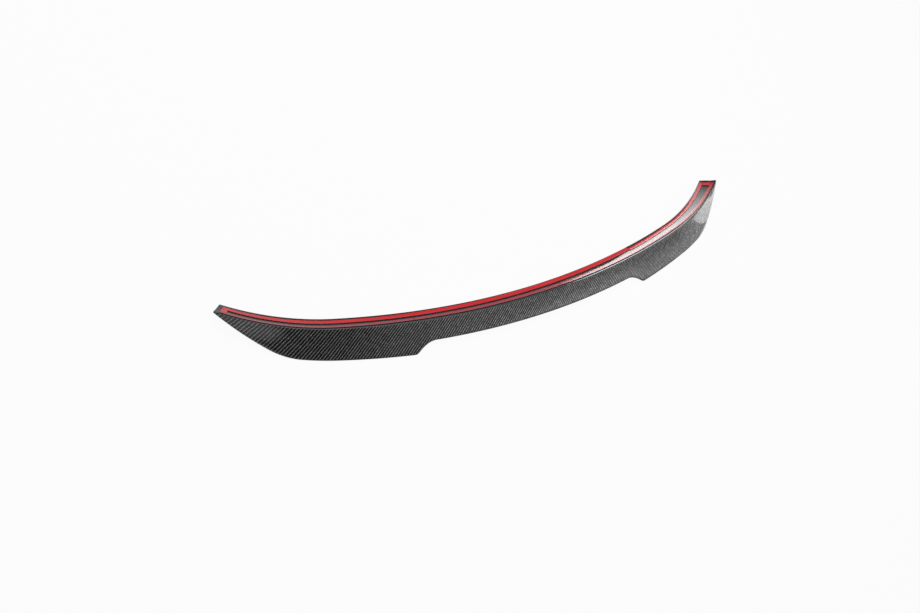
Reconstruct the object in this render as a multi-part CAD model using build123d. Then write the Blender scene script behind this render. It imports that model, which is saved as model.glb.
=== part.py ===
# Boot-lid lip spoiler for a car: a hollow carbon-fibre moulding with double-sided foam tape on its
# bonding face. It is modelled as it lies on a floor, upside down, so that the taped face looks up:
# X runs along the span, +Y towards the ends of the bow, +Z up. Millimetres and degrees.
from build123d import *
from math import atan, atan2, ceil, cos, degrees, radians, sin, sqrt, tan
import os

# Lengths along the front edge, from the middle of the span to a tip
MIDDLE_HALF_LENGTH = 243.8
STEP_LENGTH = 21.9
WING_LENGTH = 221.8
TAPER_LENGTH = 119.5

# Bow of the front edge, which lies in one plane: a long main arc and a tighter arc at each end
MAIN_ARC_RADIUS = 1658.0
END_ARC_RADIUS = 488.0
END_ARC_LENGTH = 201.0

# Height of the trailing lip, measured up the rear face, and how gently its corners are eased
LIP_HEIGHT_MIDDLE = 39.2
LIP_HEIGHT_STEP = 61.4
LIP_HEIGHT_CORNER = 54.7
LIP_HEIGHT_TIP = 2.4
STEP_START_BLEND = 17.0
STEP_END_BLEND = 4.6
LIP_CORNER_BLEND = 26.0

# Angles of the cross-section, in the middle of the span and at the tips
STRIP_TILT_MIDDLE = 23.0  # bonding face against the plane of the bow
STRIP_TILT_TIP = 40.6
REAR_ANGLE_MIDDLE = 51.0  # rear face against the bonding face
REAR_ANGLE_TIP = 83.5

# Edges and faces of the moulding
STRIP_WIDTH_MIDDLE = 31.8  # bonding face, from the front edge to the heel
STRIP_WIDTH_TIP = 40.1
FRONT_EDGE_THICKNESS = 1.6
LIP_RADIUS = 2.0
HEEL_RADIUS = 2.2  # between the bonding face and the rear face
BONDING_FACE_HOLLOW = 2.4
REAR_FACE_HOLLOW = 1.0
RAMP_HOLLOW = 5.5

# Hollow between the skins of the moulding, up to where the wings begin to taper
WALL = 2.0
CAVITY_NARROWEST = 1.2

# Double-sided foam tape under its release liner: two rows of butted lengths, a cross piece at each tip
TAPE_WIDTH = 8.0
FRONT_LONG_WIDTH = 9.0
FRONT_SHORT_WIDTH = 7.0
FOAM_THICKNESS = 0.8
LINER_THICKNESS = 0.2
GLUE_LINE = 0.08
FRONT_LONG_RIM_JOINT = 1.9  # the front row is laid by hand, and its rim drifts from the joint to the tips
FRONT_LONG_RIM_TIP = 7.9
FRONT_SHORT_RIM_JOINT = 6.2
FRONT_SHORT_RIM_TIP = 3.4
REAR_RIM_MIDDLE = 7.0
REAR_RIM_TIP = 3.0
END_RIM = 8.5
FRONT_SHORT_LENGTH = 326.2
REAR_SHORT_LENGTH = 335.2
JOINT_GAP = 0.6
CROSS_TAPE_WIDTH = 10.0
CROSS_TAPE_GAP = 0.5

# Sections that the lofts pass through
SECTION_STEP = 90.0
FEWEST_STEPS = 3
SHORTEST_RUN = 1.5

# Places along the front edge where the lip turns
STEP_START = MIDDLE_HALF_LENGTH
STEP_END = STEP_START + STEP_LENGTH
LIP_CORNER = STEP_END + WING_LENGTH
HALF_LENGTH = LIP_CORNER + TAPER_LENGTH
MAIN_ARC_HALF_LENGTH = HALF_LENGTH - END_ARC_LENGTH
QUARTER_TURN = radians(90)


def grow(middle, tip, s):
    """A value that changes with the square of the distance s from the middle of the span."""
    return middle + (tip - middle) * (s / HALF_LENGTH) ** 2


def bow(s):
    """Point of the front edge at length s from the middle, and the heading of the edge there."""
    side = 1.0 if s >= 0 else -1.0
    main = min(abs(s), MAIN_ARC_HALF_LENGTH) / MAIN_ARC_RADIUS
    end = main + max(abs(s) - MAIN_ARC_HALF_LENGTH, 0.0) / END_ARC_RADIUS
    x = MAIN_ARC_RADIUS * sin(main) + END_ARC_RADIUS * (sin(end) - sin(main))
    y = MAIN_ARC_RADIUS * (1 - cos(main)) + END_ARC_RADIUS * (cos(main) - cos(end))
    return Vector(side * x, y, 0), side * end


def section_plane(s):
    """Plane square to the front edge: local x along the bonding face, local y into the part."""
    origin, heading = bow(s)
    tilt = radians(grow(STRIP_TILT_MIDDLE, STRIP_TILT_TIP, s))
    rearwards = Vector(sin(heading) * cos(tilt), -cos(heading) * cos(tilt), sin(tilt))
    return Plane(origin, x_dir=rearwards, z_dir=Vector(cos(heading), sin(heading), 0))


def bend(distance, blend):
    """A straight slope of 1 that starts at distance 0, eased in over the blend on both sides."""
    if abs(distance) >= blend:
        return max(distance, 0.0)
    return (distance + blend) ** 2 / (4 * blend)


def lip_height(s):
    """Height of the lip: a low middle, a step, a wing and a taper, joined by eased corners."""
    step_slope = (LIP_HEIGHT_STEP - LIP_HEIGHT_MIDDLE) / STEP_LENGTH
    wing_slope = (LIP_HEIGHT_CORNER - LIP_HEIGHT_STEP) / WING_LENGTH
    taper_slope = (LIP_HEIGHT_TIP - LIP_HEIGHT_CORNER) / TAPER_LENGTH
    height = LIP_HEIGHT_MIDDLE
    height += step_slope * bend(abs(s) - STEP_START, STEP_START_BLEND)
    height += (wing_slope - step_slope) * bend(abs(s) - STEP_END, STEP_END_BLEND)
    height += (taper_slope - wing_slope) * bend(abs(s) - LIP_CORNER, LIP_CORNER_BLEND)
    return height


def fullness(s):
    """How hollow the faces are, as a share of what they are at the step: shallow where the lip is low."""
    return lip_height(s) / LIP_HEIGHT_STEP


def strip_width(s):
    return grow(STRIP_WIDTH_MIDDLE, STRIP_WIDTH_TIP, s)


def rear_angle(s):
    return radians(grow(REAR_ANGLE_MIDDLE, REAR_ANGLE_TIP, s))


def heel_radius(s):
    """Radius of the heel, which shrinks where the rear face runs out at the tips."""
    return HEEL_RADIUS * lip_height(s) / (lip_height(s) + 2 * HEEL_RADIUS)


def lip_radius(s):
    """Radius of the lip, which shrinks where the rear face runs out at the tips."""
    return LIP_RADIUS * lip_height(s) / (lip_height(s) + LIP_RADIUS)


def polar(length, angle):
    return Vector(length * cos(angle), length * sin(angle))


def bonding_end(s):
    """Where the bonding face ends across the strip, at the round of the heel."""
    return strip_width(s) - heel_radius(s) * tan(rear_angle(s) / 2)


def bonding_hollow(s):
    """Deepest place of the bonding face, which flattens out where the part gets thin at the tips."""
    return BONDING_FACE_HOLLOW * lip_height(s) / (lip_height(s) + 4 * BONDING_FACE_HOLLOW)


def bonding_depth(s, u):
    """How far the hollow of the bonding face lies inside its chord."""
    share = u / bonding_end(s)
    return bonding_hollow(s) * 4 * share * (1 - share)


def bonding_curve(s):
    end = bonding_end(s)
    return [Vector(u, bonding_depth(s, u)) for u in (0.0, end / 2, end)]


def heel_middle(s):
    corner = Vector(strip_width(s), 0)
    centre = Vector(bonding_end(s), heel_radius(s))
    return centre + (corner - centre).normalized() * heel_radius(s)


def rear_curve(s):
    """Rear face from the heel to the lip: its start, middle and end."""
    corner = Vector(strip_width(s), 0)
    start = corner + polar(corner.X - bonding_end(s), rear_angle(s))
    end = corner + polar(lip_height(s) - lip_radius(s), rear_angle(s))
    hollow = polar(REAR_FACE_HOLLOW * fullness(s), rear_angle(s) + QUARTER_TURN)
    return [start, (start + end) / 2 + hollow, end]


def lip_curves(s):
    """Round of the lip from the rear face to the ramp: an arc in three curves."""
    centre = rear_curve(s)[-1] + polar(lip_radius(s), rear_angle(s) + QUARTER_TURN)
    chord = centre - Vector(0, FRONT_EDGE_THICKNESS)
    ramp_angle = atan2(chord.Y, chord.X) + 2 * atan(2 * RAMP_HOLLOW * fullness(s) / chord.length)
    start = rear_angle(s) - QUARTER_TURN
    turn = ramp_angle + QUARTER_TURN - start

    def on_arc(share):
        return centre + polar(lip_radius(s), start + turn * share)

    thirds = (0, 1 / 3, 2 / 3, 1)
    return [[on_arc(low), on_arc((low + high) / 2), on_arc(high)] for low, high in zip(thirds, thirds[1:])]


def ramp_curve(s):
    """Hollow ramp from the lip to the front edge: its start, middle and end."""
    start = lip_curves(s)[-1][-1]
    end = Vector(0, FRONT_EDGE_THICKNESS)
    chord = start - end
    hollow = polar(RAMP_HOLLOW * fullness(s), atan2(chord.Y, chord.X) - QUARTER_TURN)
    return [start, (start + end) / 2 + hollow, end]


def edge_chain(s, chain):
    """Closed wire at s from lists of local points: two make a line, three a curve through the middle one."""
    edges = []
    for points in chain:
        world = [section_plane(s).from_local_coords(point) for point in points]
        if len(world) == 2:
            edges.append(Edge.make_line(*world))
        else:
            first, through, last = world
            edges.append(Edge.make_bezier(first, through * 2 - (first + last) / 2, last))
    return Wire(edges)


def shell_section(s):
    """Outline of the moulding: bonding face, heel, rear face, lip, ramp and square-cut front edge."""
    bonding, rear, ramp = bonding_curve(s), rear_curve(s), ramp_curve(s)
    heel = [bonding[-1], heel_middle(s), rear[0]]
    front_edge = [ramp[-1], bonding[0]]
    return edge_chain(s, [bonding, heel, rear, *lip_curves(s), ramp, front_edge])


def line_to_circle(start, angle, centre, radius):
    """Length along a line, from start, at which it first crosses a circle."""
    along = (centre - start).dot(polar(1, angle))
    aside = (centre - start - polar(along, angle)).length
    return along - sqrt(radius**2 - aside**2)


def cavity_section(s):
    """Outline of the cavity: one wall inside the lowest of the bonding face, the rear face and the ramp."""
    ramp_start, _, ramp_end = ramp_curve(s)
    chord = ramp_start - ramp_end
    sag = RAMP_HOLLOW * fullness(s)
    ramp_radius = (chord.length**2 / 4 + sag**2) / (2 * sag)
    outwards = polar(1, atan2(chord.Y, chord.X) + QUARTER_TURN)
    centre = (ramp_start + ramp_end) / 2 + outwards * (ramp_radius - sag)

    floor = bonding_hollow(s) + WALL
    heel = Vector(strip_width(s) + floor / tan(rear_angle(s)) - WALL / sin(rear_angle(s)), floor)
    inner_ramp = ramp_radius + WALL
    narrow = inner_ramp + CAVITY_NARROWEST
    front = heel + polar(line_to_circle(heel, 2 * QUARTER_TURN, centre, narrow), 2 * QUARTER_TURN)
    lip = heel + polar(line_to_circle(heel, rear_angle(s), centre, narrow), rear_angle(s))
    ramp_lip, ramp_front = [centre + (point - centre).normalized() * inner_ramp for point in (lip, front)]
    ramp_middle = centre + ((ramp_lip + ramp_front) / 2 - centre).normalized() * inner_ramp
    rear_middle = (heel + lip) / 2 + polar(REAR_FACE_HOLLOW * fullness(s), rear_angle(s) + QUARTER_TURN)

    rear_side = [heel, rear_middle, lip]
    ramp_side = [ramp_lip, ramp_middle, ramp_front]
    return edge_chain(s, [[front, heel], rear_side, [lip, ramp_lip], ramp_side, [ramp_front, front]])


def runs(start, end):
    """Places from start to end between which the lip and the bow each keep to one law."""
    marks = [MAIN_ARC_HALF_LENGTH]
    marks += [STEP_START - STEP_START_BLEND, STEP_START + STEP_START_BLEND]
    marks += [STEP_END - STEP_END_BLEND, STEP_END + STEP_END_BLEND]
    marks += [LIP_CORNER - LIP_CORNER_BLEND, LIP_CORNER + LIP_CORNER_BLEND]
    places = [start]
    for mark in sorted(marks + [-mark for mark in marks]):
        if places[-1] + SHORTEST_RUN < mark < end - SHORTEST_RUN:
            places.append(mark)
    return places + [end]


def loft_along(section, start, end):
    """Solid through the sections from start to end: one smooth loft for each run, joined."""
    places = runs(start, end)
    lofts = []
    for low, high in zip(places, places[1:]):
        steps = max(FEWEST_STEPS, ceil((high - low) / SECTION_STEP))
        lofts.append(Solid.make_loft([section(low + (high - low) * i / steps) for i in range(steps + 1)]))
    return lofts[0].fuse(*lofts[1:])


def make_shell():
    """The moulding: a loft of its outline, less the hollow between its skins."""
    cavity_end = LIP_CORNER - LIP_CORNER_BLEND
    body = loft_along(shell_section, -HALF_LENGTH, HALF_LENGTH)
    return body - loft_along(cavity_section, -cavity_end, cavity_end)


def make_strip(start, end, across, base, thickness):
    """A flat strip that follows the bonding face; across(s) gives its two edges."""

    def strip_section(s):
        near, far = across(s)
        seat = [Vector(u, bonding_depth(s, u) - base) for u in (near, far)]
        back = [Vector(u, bonding_depth(s, u) - base - thickness) for u in (far, near)]
        corners = seat + back
        return edge_chain(s, zip(corners, corners[1:] + corners[:1]))

    return loft_along(strip_section, start, end)


def drift(joint, tip, share):
    """A rim that changes with the square of the share of the way from the joint to a tip."""
    return joint + (tip - joint) * share**2


def tape_lengths():
    """Name, start, end and edges of each length of tape on the bonding face."""
    reach = HALF_LENGTH - END_RIM
    front_joint = reach - FRONT_SHORT_LENGTH
    rear_joint = REAR_SHORT_LENGTH - reach

    def front_long(s):
        rim = drift(FRONT_LONG_RIM_JOINT, FRONT_LONG_RIM_TIP, (s - front_joint) / (-reach - front_joint))
        return rim, rim + FRONT_LONG_WIDTH

    def front_short(s):
        rim = drift(FRONT_SHORT_RIM_JOINT, FRONT_SHORT_RIM_TIP, (s - front_joint) / (reach - front_joint))
        return rim, rim + FRONT_SHORT_WIDTH

    def rear(s):
        edge = strip_width(s) - grow(REAR_RIM_MIDDLE, REAR_RIM_TIP, s)
        return edge - TAPE_WIDTH, edge

    def end_left(s):
        return front_long(s)[1] + CROSS_TAPE_GAP, rear(s)[0] - CROSS_TAPE_GAP

    def end_right(s):
        return front_short(s)[1] + CROSS_TAPE_GAP, rear(s)[0] - CROSS_TAPE_GAP

    return [("front_long", -reach, front_joint - JOINT_GAP, front_long),
            ("front_short", front_joint, reach, front_short),
            ("rear_left", -reach, rear_joint, rear),
            ("rear_right", rear_joint + JOINT_GAP, reach, rear),
            ("end_left", -reach, CROSS_TAPE_WIDTH - reach, end_left),
            ("end_right", reach - CROSS_TAPE_WIDTH, reach, end_right)]


def make_tapes():
    """Foam tape and release liner for every length, stacked on the bonding face."""
    pieces = {}
    liner_base = GLUE_LINE + FOAM_THICKNESS + GLUE_LINE
    for name, start, end, across in tape_lengths():
        pieces["foam_tape_" + name] = make_strip(start, end, across, GLUE_LINE, FOAM_THICKNESS)
        pieces["release_liner_" + name] = make_strip(start, end, across, liner_base, LINER_THICKNESS)
    return pieces


def lying_pitch():
    """Turn about X that lays the front corners of the tips and the lowest of the lip on a floor."""
    tip = section_plane(HALF_LENGTH).from_local_coords(ramp_curve(HALF_LENGTH)[-1])
    slopes = []
    for s in range(int(LIP_CORNER + LIP_CORNER_BLEND)):
        for point in sum(lip_curves(s), []):
            lip = section_plane(s).from_local_coords(point)
            slopes.append((tip.Z - lip.Z) / (tip.Y - lip.Y))
    return -degrees(atan(max(slopes)))


def main():
    pieces = {"spoiler_shell": make_shell(), **make_tapes()}
    turn = Rotation(lying_pitch(), 0, 0)
    box = (turn * pieces["spoiler_shell"]).bounding_box()
    seat = Location((0, -box.center().Y, -box.min.Z)) * turn
    os.makedirs("parts", exist_ok=True)
    for name, piece in pieces.items():
        export_step(seat * piece, f"parts/{name}.step")


main()
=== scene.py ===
# A lip spoiler for the boot lid of a car, in carbon fibre. It lies upside down on a pale floor, so that its
# taped bonding face looks up. The sections follow it as it is put together. Metres, in the frame's own axes.
import bmesh
import bpy
from math import atan, atan2, ceil, cos, pi, radians, sin, tan
from mathutils import Matrix, Vector


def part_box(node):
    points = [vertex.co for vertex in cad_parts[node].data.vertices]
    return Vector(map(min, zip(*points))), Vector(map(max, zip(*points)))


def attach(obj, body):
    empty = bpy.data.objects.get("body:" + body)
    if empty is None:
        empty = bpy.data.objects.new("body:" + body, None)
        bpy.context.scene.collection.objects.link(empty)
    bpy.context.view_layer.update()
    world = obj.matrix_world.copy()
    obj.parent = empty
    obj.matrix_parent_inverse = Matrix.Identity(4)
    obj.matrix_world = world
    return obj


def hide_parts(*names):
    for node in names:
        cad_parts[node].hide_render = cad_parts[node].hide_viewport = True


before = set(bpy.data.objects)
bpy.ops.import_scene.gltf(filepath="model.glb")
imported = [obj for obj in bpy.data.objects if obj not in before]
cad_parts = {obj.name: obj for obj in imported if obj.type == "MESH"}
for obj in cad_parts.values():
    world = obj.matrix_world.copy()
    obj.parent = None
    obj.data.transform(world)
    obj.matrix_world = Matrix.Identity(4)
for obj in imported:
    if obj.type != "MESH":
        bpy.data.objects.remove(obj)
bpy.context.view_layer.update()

# The moulding is one closed hollow shell of carbon cloth in clear resin, laid up in a mould. One section
# (bonding face, heel, rear face, lip, ramp and front edge) is swept along the bowed front edge, and it
# twists and swells on the way, with a step where the lip grows into a wing on either side.
HALF_LENGTH = 0.607
STEP_START = 0.2438
STEP_END = 0.2657
LIP_CORNER = 0.4875
MAIN_ARC_HALF_LENGTH = 0.406
MAIN_ARC_RADIUS = 1.658
END_ARC_RADIUS = 0.488
LIP_HEIGHT_MIDDLE = 0.0392
LIP_HEIGHT_STEP = 0.0614
LIP_HEIGHT_CORNER = 0.0547
LIP_HEIGHT_TIP = 0.0024
STEP_START_BLEND = 0.017
STEP_END_BLEND = 0.0046
LIP_CORNER_BLEND = 0.026
STRIP_WIDTH = (0.0318, 0.0401)  # bonding face, in the middle of the span and at the tips
STRIP_TILT = (radians(23.0), radians(40.6))
REAR_ANGLE = (radians(51.0), radians(83.5))
FRONT_EDGE_THICKNESS = 0.0016
FRONT_EDGE_ROUND = 0.0004
LIP_RADIUS = 0.002
HEEL_RADIUS = 0.0022
BONDING_FACE_HOLLOW = 0.0024
REAR_FACE_HOLLOW = 0.001
RAMP_HOLLOW = 0.0055
LYING_PITCH = radians(-5.9037)
QUARTER_TURN = radians(90)
STATION_STEP = 0.0025
SHARP_ANGLE = radians(40)  # between two faces; a sharper edge is shaded as an edge
BONDING_STEPS = 12
HEEL_POINTS = 9
REAR_POINTS = 15
LIP_POINTS = 13
RAMP_POINTS = 20
EDGE_POINTS = 5


def grow(ends, s):
    """A value that changes with the square of the distance s from the middle of the span."""
    middle, tip = ends
    return middle + (tip - middle) * (s / HALF_LENGTH) ** 2


def bow(s):
    """Point of the front edge at length s from the middle, and the heading of the edge there."""
    side = 1.0 if s >= 0 else -1.0
    main = min(abs(s), MAIN_ARC_HALF_LENGTH) / MAIN_ARC_RADIUS
    end = main + max(abs(s) - MAIN_ARC_HALF_LENGTH, 0.0) / END_ARC_RADIUS
    x = MAIN_ARC_RADIUS * sin(main) + END_ARC_RADIUS * (sin(end) - sin(main))
    y = MAIN_ARC_RADIUS * (1 - cos(main)) + END_ARC_RADIUS * (cos(main) - cos(end))
    return Vector((side * x, y, 0)), side * end


def bend(distance, blend):
    """A straight slope of 1 that starts at distance 0, eased in over the blend on both sides."""
    if abs(distance) >= blend:
        return max(distance, 0.0)
    return (distance + blend) ** 2 / (4 * blend)


def lip_height(s):
    """Height of the lip up the rear face: a low middle, a step, a wing and a taper."""
    step_slope = (LIP_HEIGHT_STEP - LIP_HEIGHT_MIDDLE) / (STEP_END - STEP_START)
    wing_slope = (LIP_HEIGHT_CORNER - LIP_HEIGHT_STEP) / (LIP_CORNER - STEP_END)
    taper_slope = (LIP_HEIGHT_TIP - LIP_HEIGHT_CORNER) / (HALF_LENGTH - LIP_CORNER)
    height = LIP_HEIGHT_MIDDLE
    height += step_slope * bend(abs(s) - STEP_START, STEP_START_BLEND)
    height += (wing_slope - step_slope) * bend(abs(s) - STEP_END, STEP_END_BLEND)
    height += (taper_slope - wing_slope) * bend(abs(s) - LIP_CORNER, LIP_CORNER_BLEND)
    return height


def heel_radius(s):
    return HEEL_RADIUS * lip_height(s) / (lip_height(s) + 2 * HEEL_RADIUS)


def bonding_end(s):
    """Where the bonding face ends across the strip, at the round of the heel."""
    return grow(STRIP_WIDTH, s) - heel_radius(s) * tan(grow(REAR_ANGLE, s) / 2)


def bonding_depth(s, across):
    """How far the hollow of the bonding face lies inside its chord; it flattens out at the thin tips."""
    deepest = BONDING_FACE_HOLLOW * lip_height(s) / (lip_height(s) + 4 * BONDING_FACE_HOLLOW)
    share = across / bonding_end(s)
    return deepest * 4 * share * (1 - share)


def polar(length, angle):
    return Vector((length * cos(angle), length * sin(angle)))


def arc(centre, radius, start, turn, points):
    return [centre + polar(radius, start + turn * i / (points - 1)) for i in range(points)]


def curve(start, middle, end, points):
    """Points of the parabola from start to end through middle."""
    pull = middle * 2 - (start + end) / 2
    shares = [i / (points - 1) for i in range(points)]
    return [start * (1 - t) ** 2 + pull * 2 * t * (1 - t) + end * t**2 for t in shares]


def shell_outline(s):
    """The section at s, round from the front edge: x across the bonding face, y into the part."""
    angle = grow(REAR_ANGLE, s)
    height = lip_height(s)
    fullness = height / LIP_HEIGHT_STEP
    corner = Vector((grow(STRIP_WIDTH, s), 0))
    heel_end = bonding_end(s)
    steps = [heel_end * i / BONDING_STEPS for i in range(1, BONDING_STEPS)]
    bonding = [Vector((across, bonding_depth(s, across))) for across in steps]
    heel = arc(Vector((heel_end, heel_radius(s))), heel_radius(s), -QUARTER_TURN, angle, HEEL_POINTS)

    lip_radius = LIP_RADIUS * height / (height + LIP_RADIUS)
    rear_start = corner + polar(corner.x - heel_end, angle)
    rear_end = corner + polar(height - lip_radius, angle)
    hollow = polar(REAR_FACE_HOLLOW * fullness, angle + QUARTER_TURN)
    rear = curve(rear_start, (rear_start + rear_end) / 2 + hollow, rear_end, REAR_POINTS)

    lip_centre = rear_end + polar(lip_radius, angle + QUARTER_TURN)
    nose = Vector((0, FRONT_EDGE_THICKNESS))
    chord = lip_centre - nose
    ramp_angle = atan2(chord.y, chord.x) + 2 * atan(2 * RAMP_HOLLOW * fullness / chord.length)
    lip = arc(lip_centre, lip_radius, angle - QUARTER_TURN, ramp_angle + pi - angle, LIP_POINTS)

    chord = lip[-1] - nose
    hollow = polar(RAMP_HOLLOW * fullness, atan2(chord.y, chord.x) - QUARTER_TURN)
    ramp = curve(lip[-1], (lip[-1] + nose) / 2 + hollow, nose, RAMP_POINTS)

    edge = FRONT_EDGE_ROUND
    lower_centre = Vector((edge, FRONT_EDGE_THICKNESS - edge))
    lower = arc(lower_centre, edge, QUARTER_TURN, QUARTER_TURN, EDGE_POINTS)
    upper = arc(Vector((edge, edge)), edge, 2 * QUARTER_TURN, QUARTER_TURN, EDGE_POINTS)
    outline = upper[-1:] + bonding + heel + rear[1:] + lip[1:] + ramp[1:-1] + lower + upper
    if abs(s) < HALF_LENGTH:
        return outline
    centre = sum(outline, Vector((0, 0))) / len(outline)
    return [point + (centre - point).normalized() * FRONT_EDGE_ROUND for point in outline]


def spread(start, end, step):
    """Evenly spaced places along the front edge, from start to end."""
    steps = ceil((end - start) / step)
    return [start + (end - start) * i / steps for i in range(steps + 1)]


def on_section(s, point):
    """A point of the section at s, with the whole part turned to lie on its lip and its tips."""
    origin, heading = bow(s)
    tilt = grow(STRIP_TILT, s)
    rearwards = Vector((sin(heading) * cos(tilt), -cos(heading) * cos(tilt), sin(tilt)))
    inwards = Vector((sin(heading) * sin(tilt), -cos(heading) * sin(tilt), -cos(tilt)))
    return Matrix.Rotation(LYING_PITCH, 3, "X") @ (origin + rearwards * point.x + inwards * point.y)


shell_stations = spread(-HALF_LENGTH + FRONT_EDGE_ROUND, HALF_LENGTH - FRONT_EDGE_ROUND, STATION_STEP)
shell_stations = [-HALF_LENGTH] + shell_stations + [HALF_LENGTH]
shell_points = [on_section(s, point) for s in shell_stations for point in shell_outline(s)]
shell_low, shell_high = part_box("spoiler_shell")
lowest = min(point.z for point in shell_points)
middle = (min(point.y for point in shell_points) + max(point.y for point in shell_points)) / 2
LYING_PLACE = Vector((0, (shell_low[1] + shell_high[1]) / 2 - middle, shell_low[2] - lowest))


def swept_mesh(stations, outline, cloth):
    """A closed mesh through the outline at each station; cloth(s, place, length) gives its UV map."""
    mesh = bmesh.new()
    last_point = len(outline(stations[0])) - 1
    bmesh.ops.create_grid(mesh, x_segments=len(stations) - 1, y_segments=last_point, size=0.5)
    weave = {}
    columns = {}
    for vertex in mesh.verts:
        columns.setdefault(round((vertex.co.x + 0.5) * (len(stations) - 1)), []).append(vertex)
    for index, column in columns.items():
        points = outline(stations[index])
        length = 0.0
        column.sort(key=lambda vertex: vertex.co.y)
        for number, vertex in enumerate(column):
            length += (points[number] - points[max(number - 1, 0)]).length
            vertex.co = on_section(stations[index], points[number]) + LYING_PLACE
            weave[vertex] = cloth(stations[index], vertex.co, length)
    uv_map = mesh.loops.layers.uv.new("cloth")
    for face in mesh.faces:
        for loop in face.loops:
            loop[uv_map].uv = weave[loop.vert]
    bmesh.ops.remove_doubles(mesh, verts=mesh.verts, dist=1e-6)
    bmesh.ops.holes_fill(mesh, edges=[edge for edge in mesh.edges if edge.is_boundary])
    bmesh.ops.recalc_face_normals(mesh, faces=mesh.faces)
    for face in mesh.faces:
        face.smooth = True
    for edge in mesh.edges:
        edge.smooth = edge.calc_face_angle() < SHARP_ANGLE
    return mesh


def finished_piece(mesh, name, material, node):
    """A bmesh as a piece of the part, in the place of one node of the frame."""
    data = bpy.data.meshes.new(name)
    mesh.to_mesh(data)
    mesh.free()
    data.materials.append(material)
    piece = bpy.data.objects.new(name, data)
    bpy.context.scene.collection.objects.link(piece)
    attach(piece, "root")
    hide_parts(node)


def add_node(tree, kind, inputs, **settings):
    """A shader node with its settings made and its sockets set or linked."""
    node = tree.nodes.new(kind)
    for name, value in settings.items():
        setattr(node, name, value)
    for socket, value in inputs.items():
        if isinstance(value, bpy.types.NodeSocket):
            tree.links.new(value, node.inputs[socket])
        else:
            node.inputs[socket].default_value = value
    return node


def maths(tree, operation, *values):
    return add_node(tree, "ShaderNodeMath", dict(enumerate(values)), operation=operation).outputs[0]


def remap(tree, value, source, target=(0.0, 1.0), **settings):
    """A value carried over from one range to another, and held at its ends."""
    inputs = {"Value": value, "From Min": source[0], "From Max": source[1]}
    inputs.update({"To Min": target[0], "To Max": target[1]})
    return add_node(tree, "ShaderNodeMapRange", inputs, **settings).outputs[0]


def blend_values(tree, share, low, high):
    mix = add_node(tree, "ShaderNodeMix", {"Factor": share, "A": low, "B": high})
    return mix.outputs["Result"]


def blend_colours(tree, share, low, high):
    mix = add_node(tree, "ShaderNodeMix", {"Factor": share}, data_type="RGBA")
    for socket, value in (("A_Color", low), ("B_Color", high)):
        target = next(found for found in mix.inputs if found.identifier == socket)
        if isinstance(value, bpy.types.NodeSocket):
            tree.links.new(value, target)
        else:
            target.default_value = value
    return next(found for found in mix.outputs if found.identifier == "Result_Color")


def new_material(name):
    material = bpy.data.materials.new(name)
    material.use_nodes = True
    return material, material.node_tree, material.node_tree.nodes["Principled BSDF"]


TOW_WIDTH = 0.00149
TOW_WANDER = 0.0012
CLOTH_SKEW = 0.075
TIP_DRAW = 0.127  # how far the long tows are drawn apart at the place below, near a tip
TIP_DRAW_PLACE = 0.52
FILAMENTS = 14.0  # streaks across a tow
FILAMENT_TONES = (0.6, 1.4)
SHEEN_SHARPNESS = 3.2
LONG_TOW_SHADE = 0.95  # painted shade: the long tows are painted darker, as they turn their fibres away from the light
TOW_TONES = (0.55, 1.3)
CLOTH_TONES = (0.7, 1.3)
HEEL_LEAN = (-0.3, -0.12)  # forward lean of the surface, from the rear face to the heel
BONDING_SHEEN = 0.1  # painted shade: the painted sheen is cut down to this share where the surface leans forward, on the bonding face and the heel
FIBRE_DARK = (0.004, 0.0044, 0.0048, 1)
# painted highlight: the colour of the sheen painted on the crowns of the tows; the fibre itself is the dark
# colour above
FIBRE_SHEEN = (0.84, 0.84, 0.83, 1)


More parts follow.
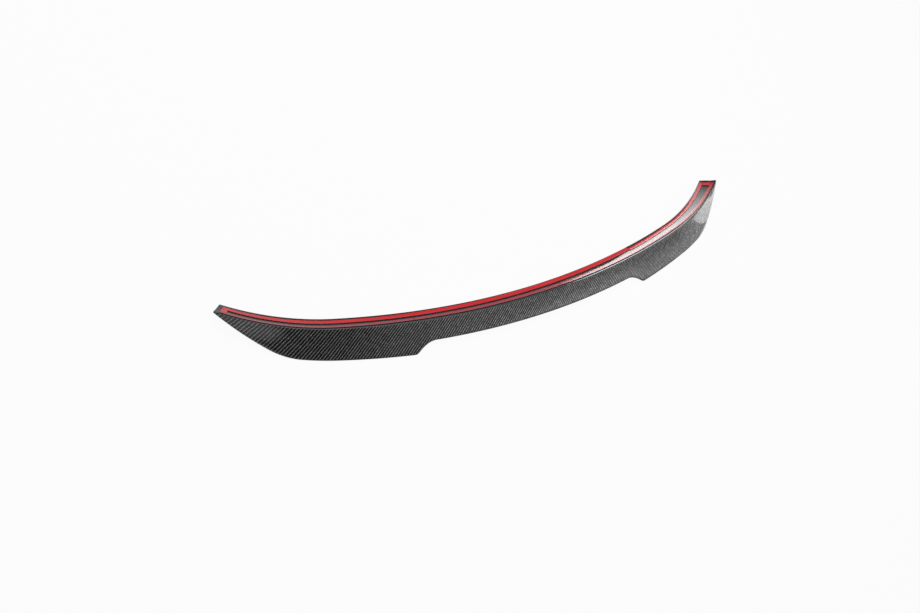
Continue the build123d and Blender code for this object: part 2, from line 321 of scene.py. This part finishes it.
def carbon_cloth():
    """Two-by-two twill: each tow floats over two others and dives under two, one step on in every row."""
    material, tree, shader = new_material("carbon_cloth")
    uv = add_node(tree, "ShaderNodeUVMap", {}, uv_map="cloth").outputs["UV"]
    wander = add_node(tree, "ShaderNodeTexNoise", {"Vector": uv, "Scale": 45.0, "Detail": 1.0})
    shift = add_node(tree, "ShaderNodeVectorMath", {0: wander.outputs["Color"], 1: (0.5, 0.5, 0.5)},
                     operation="SUBTRACT").outputs[0]
    shift = add_node(tree, "ShaderNodeVectorMath", {0: shift, "Scale": TOW_WANDER},
                     operation="SCALE").outputs[0]
    cloth = add_node(tree, "ShaderNodeVectorMath", {0: uv, 1: shift}, operation="ADD").outputs[0]
    sides = add_node(tree, "ShaderNodeSeparateXYZ", {0: cloth})
    column = maths(tree, "DIVIDE", sides.outputs["X"], TOW_WIDTH)
    row = maths(tree, "DIVIDE", sides.outputs["Y"], TOW_WIDTH)
    column_share = maths(tree, "FRACT", column)
    row_share = maths(tree, "FRACT", row)
    cell = maths(tree, "ADD", maths(tree, "FLOOR", column), maths(tree, "FLOOR", row))
    phase = maths(tree, "FLOORED_MODULO", cell, 4.0)
    long_tow = maths(tree, "LESS_THAN", phase, 1.5)

    long_float = maths(tree, "ADD", phase, column_share)
    cross_float = maths(tree, "SUBTRACT", maths(tree, "ADD", phase, row_share), 2.0)
    along = maths(tree, "MULTIPLY", blend_values(tree, long_tow, cross_float, long_float), 0.5)
    across = blend_values(tree, long_tow, column_share, row_share)
    crown = maths(tree, "SINE", maths(tree, "MULTIPLY", along, pi))
    side = maths(tree, "SINE", maths(tree, "MULTIPLY", across, pi))
    height = maths(tree, "MULTIPLY", crown, maths(tree, "POWER", side, 0.5))

    strand = maths(tree, "MULTIPLY", across, FILAMENTS)
    filament = add_node(tree, "ShaderNodeCombineXYZ", {"X": along, "Y": strand, "Z": cell}).outputs[0]
    streaks = add_node(tree, "ShaderNodeTexNoise", {"Vector": filament, "Scale": 1.0, "Detail": 2.0})
    streak = remap(tree, streaks.outputs["Fac"], (0.0, 1.0), FILAMENT_TONES)
    # Painted highlight: the crown of every float is painted lighter, as a sheen, in the base colour; the same
    # share makes it metallic, so it also reflects the room.
    sheen = maths(tree, "MULTIPLY", maths(tree, "POWER", height, SHEEN_SHARPNESS), streak)
    # Painted shade: the sheen on the long tows is cut down.
    painted_tow_shade = maths(tree, "SUBTRACT", 1.0, maths(tree, "MULTIPLY", long_tow, LONG_TOW_SHADE))
    lit = maths(tree, "MULTIPLY", sheen, painted_tow_shade)
    place = {"X": maths(tree, "FLOOR", column), "Y": maths(tree, "FLOOR", row)}
    tow = add_node(tree, "ShaderNodeCombineXYZ", place).outputs[0]
    chance = add_node(tree, "ShaderNodeTexWhiteNoise", {"Vector": tow}, noise_dimensions="2D")
    lit = maths(tree, "MULTIPLY", lit, remap(tree, chance.outputs["Value"], (0.0, 1.0), TOW_TONES))
    waves = add_node(tree, "ShaderNodeTexNoise", {"Vector": uv, "Scale": 100.0, "Detail": 3.0})
    lit = maths(tree, "MULTIPLY", lit, remap(tree, waves.outputs["Fac"], (0.35, 0.65), CLOTH_TONES))
    # Painted shade: less sheen on the surfaces that lean forward.
    normal = add_node(tree, "ShaderNodeTexCoord", {}).outputs["Normal"]
    lean = add_node(tree, "ShaderNodeSeparateXYZ", {0: normal}).outputs["Y"]
    lit = maths(tree, "MULTIPLY", lit, remap(tree, lean, HEEL_LEAN, (1.0, BONDING_SHEEN)))
    # Base colour: the fibre's near black, with the painted sheen over it.
    colour = blend_colours(tree, lit, FIBRE_DARK, FIBRE_SHEEN)
    bump = add_node(tree, "ShaderNodeBump", {"Height": height, "Strength": 0.5, "Distance": 0.0002})

    tree.links.new(colour, shader.inputs["Base Color"])
    tree.links.new(bump.outputs["Normal"], shader.inputs["Normal"])
    tree.links.new(maths(tree, "MINIMUM", lit, 1.0), shader.inputs["Metallic"])
    shader.inputs["Roughness"].default_value = 0.36
    shader.inputs["Specular IOR Level"].default_value = 0.05
    shader.inputs["Coat Weight"].default_value = 1.0
    shader.inputs["Coat Roughness"].default_value = 0.035
    shader.inputs["Coat IOR"].default_value = 1.5
    return material


def shell_cloth(s, place, length):
    """The cross tows keep to one direction; the long tows follow the front edge and spread at the tips."""
    drawn = TIP_DRAW * (s / TIP_DRAW_PLACE) ** 2
    return (place.x - CLOTH_SKEW * place.y, length * (1 - drawn) / cos(bow(s)[1]))


shell = swept_mesh(shell_stations, shell_outline, shell_cloth)
finished_piece(shell, "carbon_shell", carbon_cloth(), "spoiler_shell")

# The foam tape is double-sided: soft black foam, stuck on the bonding face in two rows that follow its edges,
# with a short cross piece at each tip. Each row is two lengths that butt.
TAPE_WIDTH = 0.008
FRONT_LONG_WIDTH = 0.009
FRONT_SHORT_WIDTH = 0.007
FOAM_THICKNESS = 0.0008
GLUE_LINE = 0.00008
FRONT_LONG_RIM = (0.0019, 0.0079)  # at the joint and at the tip
FRONT_SHORT_RIM = (0.0062, 0.0034)
REAR_RIM = (0.007, 0.003)
END_RIM = 0.0085
FRONT_SHORT_LENGTH = 0.3262
REAR_SHORT_LENGTH = 0.3352
JOINT_GAP = 0.0006
CROSS_TAPE_WIDTH = 0.010
CROSS_TAPE_GAP = 0.0005
FOAM_BULGE = 0.00012
ACROSS = (0.0, 0.25, 0.5, 0.75, 1.0)  # shares of the width or the thickness at which the tape has points
FOAM_PALE = (0.035, 0.033, 0.032, 1)
FOAM_DARK = (0.010, 0.010, 0.010, 1)
tape_reach = HALF_LENGTH - END_RIM
front_joint = tape_reach - FRONT_SHORT_LENGTH
rear_joint = REAR_SHORT_LENGTH - tape_reach


def drift(ends, share):
    """A rim that changes with the square of the share of the way from the joint to a tip."""
    joint, tip = ends
    return joint + (tip - joint) * share**2


def front_long_edges(s):
    rim = drift(FRONT_LONG_RIM, (s - front_joint) / (-tape_reach - front_joint))
    return rim, rim + FRONT_LONG_WIDTH


def front_short_edges(s):
    rim = drift(FRONT_SHORT_RIM, (s - front_joint) / (tape_reach - front_joint))
    return rim, rim + FRONT_SHORT_WIDTH


def rear_edges(s):
    edge = grow(STRIP_WIDTH, s) - grow(REAR_RIM, s)
    return edge - TAPE_WIDTH, edge


def end_left_edges(s):
    return front_long_edges(s)[1] + CROSS_TAPE_GAP, rear_edges(s)[0] - CROSS_TAPE_GAP


def end_right_edges(s):
    return front_short_edges(s)[1] + CROSS_TAPE_GAP, rear_edges(s)[0] - CROSS_TAPE_GAP


TAPE_LENGTHS = {
    "front_long": (-tape_reach, front_joint - JOINT_GAP, front_long_edges),
    "front_short": (front_joint, tape_reach, front_short_edges),
    "rear_left": (-tape_reach, rear_joint, rear_edges),
    "rear_right": (rear_joint + JOINT_GAP, tape_reach, rear_edges),
    "end_left": (-tape_reach, CROSS_TAPE_WIDTH - tape_reach, end_left_edges),
    "end_right": (tape_reach - CROSS_TAPE_WIDTH, tape_reach, end_right_edges),
}


def foam_outline(edges):
    """Section of the foam: flat faces, and sides that bulge a little."""

    def outline(s):
        near, far = edges(s)
        points = []
        for share in ACROSS:
            across = near + (far - near) * share
            points.append(Vector((across, bonding_depth(s, across) - GLUE_LINE)))
        for share in ACROSS[1:-1]:
            depth = bonding_depth(s, far) - GLUE_LINE - FOAM_THICKNESS * share
            points.append(Vector((far + FOAM_BULGE * sin(pi * share), depth)))
        for share in reversed(ACROSS):
            across = near + (far - near) * share
            points.append(Vector((across, bonding_depth(s, across) - GLUE_LINE - FOAM_THICKNESS)))
        for share in reversed(ACROSS[1:-1]):
            depth = bonding_depth(s, near) - GLUE_LINE - FOAM_THICKNESS * share
            points.append(Vector((near - FOAM_BULGE * sin(pi * share), depth)))
        return points + points[:1]

    return outline


def tape_cloth(s, place, length):
    """Along the tape and round its section, in metres."""
    return (s, length)


def black_foam():
    """Closed-cell foam: dull black, with the cut cells showing on its sides."""
    material, tree, shader = new_material("black_foam")
    place = add_node(tree, "ShaderNodeTexCoord", {}).outputs["Object"]
    cells = add_node(tree, "ShaderNodeTexVoronoi", {"Vector": place, "Scale": 3500.0})
    bump = add_node(tree, "ShaderNodeBump", {"Height": cells.outputs["Distance"], "Strength": 0.6,
                                             "Distance": 0.0001})
    colour = blend_colours(tree, cells.outputs["Distance"], FOAM_PALE, FOAM_DARK)
    tree.links.new(colour, shader.inputs["Base Color"])
    tree.links.new(bump.outputs["Normal"], shader.inputs["Normal"])
    shader.inputs["Roughness"].default_value = 0.85
    return material


foam = black_foam()
for name, (start, end, edges) in TAPE_LENGTHS.items():
    strip = swept_mesh(spread(start, end, STATION_STEP), foam_outline(edges), tape_cloth)
    finished_piece(strip, "foam_" + name, foam, "foam_tape_" + name)

# The release liner is a glossy red film on the free side of every length of tape, peeled off before fitting.
# It is as wide as the tape, and it ripples a little where the bow shortens one edge of it.
LINER_THICKNESS = 0.0002
RIPPLE_HEIGHT = 0.00006
RIPPLES = ((410, 1.0, 0.0), (655, 0.6, 1.3), (1130, 0.5, 0.4))  # radians per metre, height, start
FRONT_FILM = ((0.62, 0.028, 0.034, 1), (0.78, 0.055, 0.062, 1))  # deep, and pale in the painted highlight streaks
# Painted shade: the rear film is the same film as the front one, painted darker.
SHADED_REAR_FILM = ((0.50, 0.015, 0.025, 1), (0.62, 0.03, 0.04, 1))
# Painted shade with a painted pale veil of reflection: a dull mauve on the rear film, from the left tip to
# near the right tip.
PAINTED_SHADE_FILM = (0.36, 0.055, 0.072, 1)
PAINTED_SHADE_UP_TO = 0.44
PAINTED_SHADE_FADE = 0.08
HIGHLIGHT_STREAK_SCALE = (14.0, 420.0, 1.0)
CREASE_SCALE = (260.0, 60.0, 1.0)
liner_base = GLUE_LINE + FOAM_THICKNESS + GLUE_LINE


def ripple(s, share):
    """How far the film lifts off the foam: small waves along its inner edge."""
    waves = sum(height * sin(s * pitch + start) for pitch, height, start in RIPPLES)
    return RIPPLE_HEIGHT * max(waves, 0.0) * (1 - share) ** 2


def liner_outline(edges):
    """Section of the film: thin, flat on the foam, lifting where it ripples."""

    def outline(s):
        near, far = edges(s)
        points = []
        for share in ACROSS:
            across = near + (far - near) * share
            points.append(Vector((across, bonding_depth(s, across) - liner_base - ripple(s, share))))
        backs = [point - Vector((0, LINER_THICKNESS)) for point in reversed(points)]
        return points + backs + points[:1]

    return outline


def liner_film(name, deep, pale, shade_weight):
    """Film: pale streaks along it as painted highlights, fine creases across it, a gloss, and painted shade
    where asked.
    """
    material, tree, shader = new_material(name)
    uv = add_node(tree, "ShaderNodeUVMap", {}, uv_map="cloth").outputs["UV"]
    # Painted highlights: pale streaks along the film.
    drawn = add_node(tree, "ShaderNodeMapping", {"Vector": uv, "Scale": HIGHLIGHT_STREAK_SCALE}).outputs[0]
    streaks = add_node(tree, "ShaderNodeTexNoise", {"Vector": drawn, "Scale": 1.0, "Detail": 3.0})
    colour = blend_colours(tree, remap(tree, streaks.outputs["Fac"], (0.3, 0.7)), deep, pale)
    along = add_node(tree, "ShaderNodeSeparateXYZ", {0: uv}).outputs["X"]
    # Painted shade and veil, fading out near the right tip.
    shaded_span = remap(tree, along, (PAINTED_SHADE_UP_TO + PAINTED_SHADE_FADE, PAINTED_SHADE_UP_TO))
    colour = blend_colours(tree, maths(tree, "MULTIPLY", shaded_span, shade_weight), colour, PAINTED_SHADE_FILM)
    folded = add_node(tree, "ShaderNodeMapping", {"Vector": uv, "Scale": CREASE_SCALE}).outputs[0]
    creases = add_node(tree, "ShaderNodeTexNoise", {"Vector": folded, "Scale": 1.0, "Detail": 2.0})
    bump = add_node(tree, "ShaderNodeBump", {"Height": creases.outputs["Fac"], "Strength": 0.15,
                                             "Distance": 0.0003})
    tree.links.new(colour, shader.inputs["Base Color"])
    tree.links.new(bump.outputs["Normal"], shader.inputs["Normal"])
    shader.inputs["Roughness"].default_value = 0.14
    shader.inputs["Specular IOR Level"].default_value = 0.5
    return material


front_film = liner_film("front_liner_film", *FRONT_FILM, 0.0)
# The rear rows get the darker colours and the painted shade and veil.
shaded_rear_film = liner_film("shaded_rear_liner_film", *SHADED_REAR_FILM, 1.0)
for name, (start, end, edges) in TAPE_LENGTHS.items():
    film = shaded_rear_film if name.startswith("rear") else front_film
    strip = swept_mesh(spread(start, end, STATION_STEP), liner_outline(edges), tape_cloth)
    finished_piece(strip, "liner_" + name, film, "release_liner_" + name)

# The floor is a plain pale sheet, much larger than the part. It shows white and keeps a soft shadow.
FLOOR_HALF_SIZE = 6.0
FLOOR_WHITENESS = 0.95  # share of the floor's look that the lamps can't change
MIRRORED_WHITENESS = 0.2  # the same in the gloss of the part, where the shadow under it matters more


def pale_floor():
    material, tree, shader = new_material("pale_floor")
    shader.inputs["Base Color"].default_value = (0.6, 0.6, 0.6, 1)
    shader.inputs["Roughness"].default_value = 0.9
    white = add_node(tree, "ShaderNodeEmission", {"Strength": 1.0})
    rays = add_node(tree, "ShaderNodeLightPath", {}).outputs
    mirrored = maths(tree, "MAXIMUM", rays["Is Glossy Ray"], rays["Is Transmission Ray"])
    share = maths(tree, "MAXIMUM", maths(tree, "MULTIPLY", rays["Is Camera Ray"], FLOOR_WHITENESS),
                  maths(tree, "MULTIPLY", mirrored, MIRRORED_WHITENESS))
    mix = add_node(tree, "ShaderNodeMixShader", {0: share, 1: shader.outputs[0], 2: white.outputs[0]})
    tree.links.new(mix.outputs[0], tree.nodes["Material Output"].inputs["Surface"])
    return material


sheet = bmesh.new()
bmesh.ops.create_grid(sheet, x_segments=1, y_segments=1, size=FLOOR_HALF_SIZE)
floor_data = bpy.data.meshes.new("floor")
sheet.to_mesh(floor_data)
sheet.free()
floor_data.materials.append(pale_floor())
floor = bpy.data.objects.new("floor", floor_data)
bpy.context.scene.collection.objects.link(floor)

# The room is a soft studio under a dim ceiling: a large lamp overhead, a window with a broad pale curtain on
# the right, a small window on the left, and a pale wall round the horizon, lightest on the right. Two soft
# boxes give the glints: one low behind the part, narrowed by a honeycomb, and one far to the right.
WINDOW_FRAME = Vector((0.294, 0.923, 0.248)).normalized()  # square to the upright edge of the window
WINDOW_EDGE = (-0.04, 0.04)  # softness of that edge
WINDOW_RIGHT = (0.46, 0.53)  # how far to the right it begins
WINDOW_BACK = (0.2, 0.05)  # how far to the back it ends
WINDOW_GLOW = 1.1
CURTAIN_SIDE = Vector((0.58, -0.406, 0.707)).normalized()
CURTAIN_REACH = (0.84, 0.99)
CURTAIN_GLOW = 0.6
SMALL_WINDOW_SIDE = Vector((-0.481, -0.638, 0.602)).normalized()
SMALL_WINDOW_REACH = (0.965, 0.985)
SMALL_WINDOW_GLOW = 0.9
WALL_TOP = (0.42, 0.17)  # heights between which the ceiling turns into the wall
WALL_RIGHT = (0.4, 0.85)  # how far to the right the wall grows light
WALL_SHADE = 0.25  # the rest of the wall, as a share of its right side
WALL_GLOW = 1.0
ROOM_DIM = 0.045
NO_HONEYCOMB = pi
OVERHEAD_PLACE = Vector((0.2, 1.0, 2.2))
OVERHEAD_TARGET = Vector((0, 0.1, 0))
OVERHEAD_SIZE = (2.4, 2.4)
OVERHEAD_POWER = 46.0
BACK_BOX_PLACE = Vector((0.731, 0.62, 0.08))
BACK_BOX_TARGET = Vector((0.177, -0.04, 0.02))
BACK_BOX_SIZE = (0.29, 0.25)
BACK_BOX_ROLL = radians(-41.7)
BACK_BOX_HONEYCOMB = radians(56.0)
BACK_BOX_POWER = 0.193
SIDE_BOX_PLACE = Vector((1.98, -0.37, 0.165))
SIDE_BOX_TARGET = Vector((0.5, 0.05, 0.02))
SIDE_BOX_SIZE = (0.56, 0.335)
SIDE_BOX_POWER = 1.55

world = bpy.data.worlds.new("studio")
bpy.context.scene.world = world
world.use_nodes = True
room = world.node_tree
direction = add_node(room, "ShaderNodeTexCoord", {}).outputs["Generated"]
sides = add_node(room, "ShaderNodeSeparateXYZ", {0: direction}).outputs


def glow_towards(side, reach, strength):
    """A glow on one side of the room, fading in over the reach: cosines of the angle from that side."""
    facing = add_node(room, "ShaderNodeVectorMath", {0: direction, 1: side}, operation="DOT_PRODUCT")
    return remap(room, facing.outputs["Value"], reach, (0.0, strength))


window = glow_towards(WINDOW_FRAME, WINDOW_EDGE, WINDOW_GLOW)
window = maths(room, "MULTIPLY", window, remap(room, sides["X"], WINDOW_RIGHT))
window = maths(room, "MULTIPLY", window, remap(room, sides["Y"], WINDOW_BACK))
window = maths(room, "ADD", window, glow_towards(CURTAIN_SIDE, CURTAIN_REACH, CURTAIN_GLOW))
window = maths(room, "ADD", window, glow_towards(SMALL_WINDOW_SIDE, SMALL_WINDOW_REACH, SMALL_WINDOW_GLOW))
wall = remap(room, sides["Z"], WALL_TOP, (ROOM_DIM, WALL_GLOW), interpolation_type="SMOOTHSTEP")
wall = maths(room, "MULTIPLY", wall, remap(room, sides["X"], WALL_RIGHT, (WALL_SHADE, 1.0)))
background = room.nodes["Background"]
room.links.new(maths(room, "MAXIMUM", window, wall), background.inputs["Strength"])
background.inputs["Color"].default_value = (1, 1, 1, 1)


def soft_box(name, place, target, size, roll, honeycomb, power):
    """A rectangular lamp that faces a point of the part; the honeycomb is the angle it lets through."""
    lamp = bpy.data.lights.new(name, "AREA")
    lamp.shape = "RECTANGLE"
    lamp.size, lamp.size_y = size
    lamp.spread = honeycomb
    lamp.energy = power
    box = bpy.data.objects.new(name, lamp)
    box.location = place
    aim = (target - place).to_track_quat("-Z", "Y").to_matrix()
    box.rotation_euler = (aim @ Matrix.Rotation(roll, 3, "Z")).to_euler()
    box.visible_camera = False
    bpy.context.scene.collection.objects.link(box)


soft_box("overhead_lamp", OVERHEAD_PLACE, OVERHEAD_TARGET, OVERHEAD_SIZE, 0.0, NO_HONEYCOMB, OVERHEAD_POWER)
soft_box("back_box", BACK_BOX_PLACE, BACK_BOX_TARGET, BACK_BOX_SIZE, BACK_BOX_ROLL, BACK_BOX_HONEYCOMB,
         BACK_BOX_POWER)
soft_box("side_box", SIDE_BOX_PLACE, SIDE_BOX_TARGET, SIDE_BOX_SIZE, 0.0, NO_HONEYCOMB, SIDE_BOX_POWER)

# The camera looks down on the part from the left, held at a slant so that the span runs up to the right.
CAMERA_PLACE = Vector((-0.8015, -0.4095, 1.2534))
CAMERA_TARGET = Vector((-0.1546, -0.0301, 0.0))
CAMERA_ROLL = radians(38.83)
CAMERA_LENS = 29.35

camera = bpy.data.objects.new("camera", bpy.data.cameras.new("camera"))
camera.data.lens = CAMERA_LENS
camera.data.sensor_width = 36.0
camera.location = CAMERA_PLACE
aim = (CAMERA_TARGET - CAMERA_PLACE).to_track_quat("-Z", "Y").to_matrix()
camera.rotation_euler = (aim @ Matrix.Rotation(CAMERA_ROLL, 3, "Z")).to_euler()
bpy.context.scene.collection.objects.link(camera)
bpy.context.scene.camera = camera
bpy.context.scene.view_settings.view_transform = "Standard"
